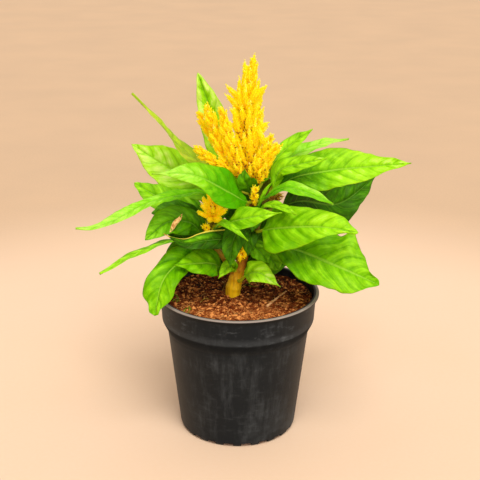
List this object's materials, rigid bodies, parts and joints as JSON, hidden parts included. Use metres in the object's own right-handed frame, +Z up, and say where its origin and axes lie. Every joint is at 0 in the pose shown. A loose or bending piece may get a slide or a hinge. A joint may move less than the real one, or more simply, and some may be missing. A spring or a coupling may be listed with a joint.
{
  "type": "potted cockscomb celosia",
  "caption": "Young yellow-flowered bedding plant with feathery upright plumes, long pointed green leaves and a round black nursery pot filled with soil.",
  "frame": {"origin": "centre of the underside of the pot, on the plane the pot stands on", "axes": "+Z up along the axis of the pot, -Y towards the viewer of the picture, +X to that viewer's right"},
  "size_m": [0.2433, 0.1582, 0.2963],
  "materials": {
    "pot": "matte",
    "soil": "matte",
    "root": "matte",
    "stem": "satin",
    "shoot": "satin",
    "leaf": "satin",
    "leaf_pale": "satin",
    "leaf_dark": "satin",
    "leaf_browned": "matte",
    "flower": "matte",
    "flower_dried": "matte",
    "twig": "matte"
  },
  "bodies": {
    "root": {"branch_left": "shoot", "branch_right": "shoot", "bud_centre": "flower", "bud_dried": "flower_dried", "bud_left": "flower", "bud_low": "flower", "leaf_back_high": "leaf", "leaf_back_left": "leaf", "leaf_back_low": "leaf_dark", "leaf_back_low_left": "leaf_dark", "leaf_back_right": "leaf", "leaf_centre_blade": "leaf", "leaf_centre_drooping": "leaf_dark", "leaf_centre_front": "leaf", "leaf_centre_low": "leaf_dark", "leaf_centre_narrow": "leaf", "leaf_centre_shaded": "leaf_dark", "leaf_front_bright": "leaf", "leaf_front_left": "leaf", "leaf_front_small": "leaf", "leaf_left_back": "leaf", "leaf_left_behind": "leaf_dark", "leaf_left_edge_on": "leaf", "leaf_left_hanging": "leaf", "leaf_left_mid": "leaf", "leaf_left_narrow": "leaf", "leaf_left_over": "leaf_pale", "leaf_left_shaded": "leaf_dark", "leaf_left_small": "leaf", "leaf_left_strap": "leaf_pale", "leaf_left_torn": "leaf_dark", "leaf_left_yellow_edge": "leaf_dark", "leaf_right_brown": "leaf_browned", "leaf_right_front": "leaf", "leaf_right_long": "leaf", "leaf_right_low": "leaf", "leaf_right_shaded": "leaf_dark", "leaf_right_strap": "leaf_pale", "leaf_right_upper": "leaf", "leaf_sliver": "leaf", "leaf_top_back_right": "leaf_pale", "leaf_top_right": "leaf", "leaf_top_upright": "leaf", "leaf_under_plume": "leaf_dark", "main_stem": "stem", "nursery_pot": "pot", "plume_left_inner": "flower", "plume_left_low": "flower", "plume_left_outer": "flower", "plume_left_tall": "flower", "plume_main": "flower", "plume_right_low": "flower", "plume_right_tall": "flower", "plume_side": "flower", "potting_soil": "soil", "root_system": "root", "twig_long": "twig", "twig_short": "twig"}
  },
  "joints": []
}
